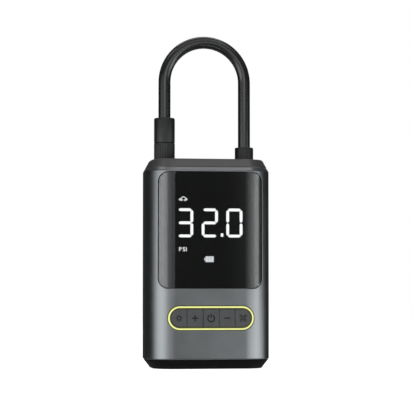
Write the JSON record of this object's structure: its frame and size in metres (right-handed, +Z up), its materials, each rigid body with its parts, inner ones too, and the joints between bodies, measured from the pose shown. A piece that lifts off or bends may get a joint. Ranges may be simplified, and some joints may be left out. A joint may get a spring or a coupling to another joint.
{
  "type": "portable tire inflator",
  "caption": "Handheld battery tire inflator: metal sleeve with a display, a lit button strip, and a hose that loops over the top as a handle and parks its screw-on chuck.",
  "frame": {"origin": "centre of the base, on the surface that the feet stand on", "axes": "+Z up, the display and buttons face -Y, +X is to the display's right"},
  "size_m": [0.073, 0.045, 0.1963],
  "materials": {
    "sleeve_metal": "fine bead-blasted and anodised graphite grey, satin",
    "cap_plastic": "finely textured black moulding, satin",
    "frame_plastic": "plain dark moulding",
    "soft_rubber": "black rubber, slightly satin",
    "window_glass": "smoked clear cover, polished",
    "mask_black": "black print",
    "ring_light": "translucent light guide, glowing yellow-green",
    "button_plastic": "dark grey satin with printed signs",
    "lamp_clear": "clear moulded lens",
    "board": "green solder mask",
    "white_plastic": "white reflector plastic",
    "steel": "plain steel",
    "cast_metal": "die cast, matt",
    "brass": "turned",
    "cell_wrap": "heat-shrink sleeve",
    "wire_red": "insulated wire"
  },
  "bodies": {
    "housing": {"base_screw_1": "steel", "base_screw_2": "steel", "base_screw_3": "steel", "base_screw_4": "steel", "battery_cell_lower": "cell_wrap", "battery_cell_upper": "cell_wrap", "battery_holder": "frame_plastic", "battery_lead": "wire_red", "bottom_cap": "cap_plastic", "charging_port": "steel", "collar_nut": "steel", "control_board": "board", "crank_bearing": "steel", "cylinder": "cast_metal", "cylinder_head": "cast_metal", "display_mask": "mask_black", "display_module": "white_plastic", "display_window": "window_glass", "foot_back": "soft_rubber", "foot_front": "soft_rubber", "hose": "soft_rubber", "hose_collar": "cap_plastic", "lamp_board": "white_plastic", "lamp_lens": "lamp_clear", "light_ring": "ring_light", "motor_can": "steel", "motor_end_cap": "frame_plastic", "motor_lead": "wire_red", "nozzle_socket": "soft_rubber", "outlet_tube": "soft_rubber", "pressure_sensor": "frame_plastic", "pump_frame": "cast_metal", "shell_sleeve": "sleeve_metal", "switch_light": "frame_plastic", "switch_minus": "frame_plastic", "switch_mode": "frame_plastic", "switch_plus": "frame_plastic", "switch_power": "frame_plastic", "top_cap": "cap_plastic", "valve_spring": "steel"},
    "rotor": {"motor_rotor": "steel", "drive_pinion": "brass"},
    "crank": {"crank_gear": "steel", "crank_shaft": "steel"},
    "piston": {"piston": "frame_plastic", "piston_seal": "soft_rubber", "wrist_pin": "steel"},
    "rod": {"connecting_rod": "cast_metal", "rod_bearing": "brass"},
    "check_valve": {"valve_disc": "soft_rubber"},
    "nozzle": {"nozzle_sleeve": "cap_plastic", "valve_depressor": "brass", "chuck_seal": "soft_rubber"},
    "chuck": {"chuck_nut": "cap_plastic"},
    "button_light_body": {"button_light": "button_plastic"},
    "button_plus_body": {"button_plus": "button_plastic"},
    "button_power_body": {"button_power": "button_plastic"},
    "button_minus_body": {"button_minus": "button_plastic"},
    "button_mode_body": {"button_mode": "button_plastic"}
  },
  "joints": [
    {"name": "crank_spin", "type": "hinge", "parent": "housing", "child": "crank", "pos_m": [0.0125, 0, 0.061], "axis": [0, 1, 0], "continuous": true},
    {"name": "motor_spin", "type": "hinge", "parent": "housing", "child": "rotor", "pos_m": [-0.01, 0, 0.061], "axis": [0, 1, 0], "continuous": true},
    {"name": "piston_slide", "type": "slide", "parent": "housing", "child": "piston", "axis": [0, 0, 1], "range_m": [0, 0.011]},
    {"name": "rod_swing", "type": "hinge", "parent": "piston", "child": "rod", "pos_m": [0.0125, 0.0006, 0.0755], "axis": [0, 1, 0], "range_deg": [-16, 16]},
    {"name": "valve_lift", "type": "slide", "parent": "housing", "child": "check_valve", "axis": [0, 0, 1], "range_m": [0, 0.0008], "stiffness_N_per_m": 60, "springref_m": -0.002, "deforming": ["valve_spring"]},
    {"name": "nozzle_pull", "type": "slide", "parent": "housing", "child": "nozzle", "axis": [0, 0, 1], "range_m": [0, 0.016], "deforming": ["hose"]},
    {"name": "chuck_spin", "type": "hinge", "parent": "nozzle", "child": "chuck", "pos_m": [-0.0238, 0.005, 0.12], "axis": [0, 0, 1], "continuous": true},
    {"name": "button_light_press", "type": "slide", "parent": "housing", "child": "button_light_body", "axis": [0, 1, 0], "range_m": [0, 0.0005], "stiffness_N_per_m": 400, "springref_m": -0.0005},
    {"name": "button_plus_press", "type": "slide", "parent": "housing", "child": "button_plus_body", "axis": [0, 1, 0], "range_m": [0, 0.0005], "stiffness_N_per_m": 400, "springref_m": -0.0005},
    {"name": "button_power_press", "type": "slide", "parent": "housing", "child": "button_power_body", "axis": [0, 1, 0], "range_m": [0, 0.0005], "stiffness_N_per_m": 400, "springref_m": -0.0005},
    {"name": "button_minus_press", "type": "slide", "parent": "housing", "child": "button_minus_body", "axis": [0, 1, 0], "range_m": [0, 0.0005], "stiffness_N_per_m": 400, "springref_m": -0.0005},
    {"name": "button_mode_press", "type": "slide", "parent": "housing", "child": "button_mode_body", "axis": [0, 1, 0], "range_m": [0, 0.0005], "stiffness_N_per_m": 400, "springref_m": -0.0005}
  ],
  "couplings": [
    {"joint": "motor_spin", "follows": "crank_spin", "ratio": -4}
  ]
}
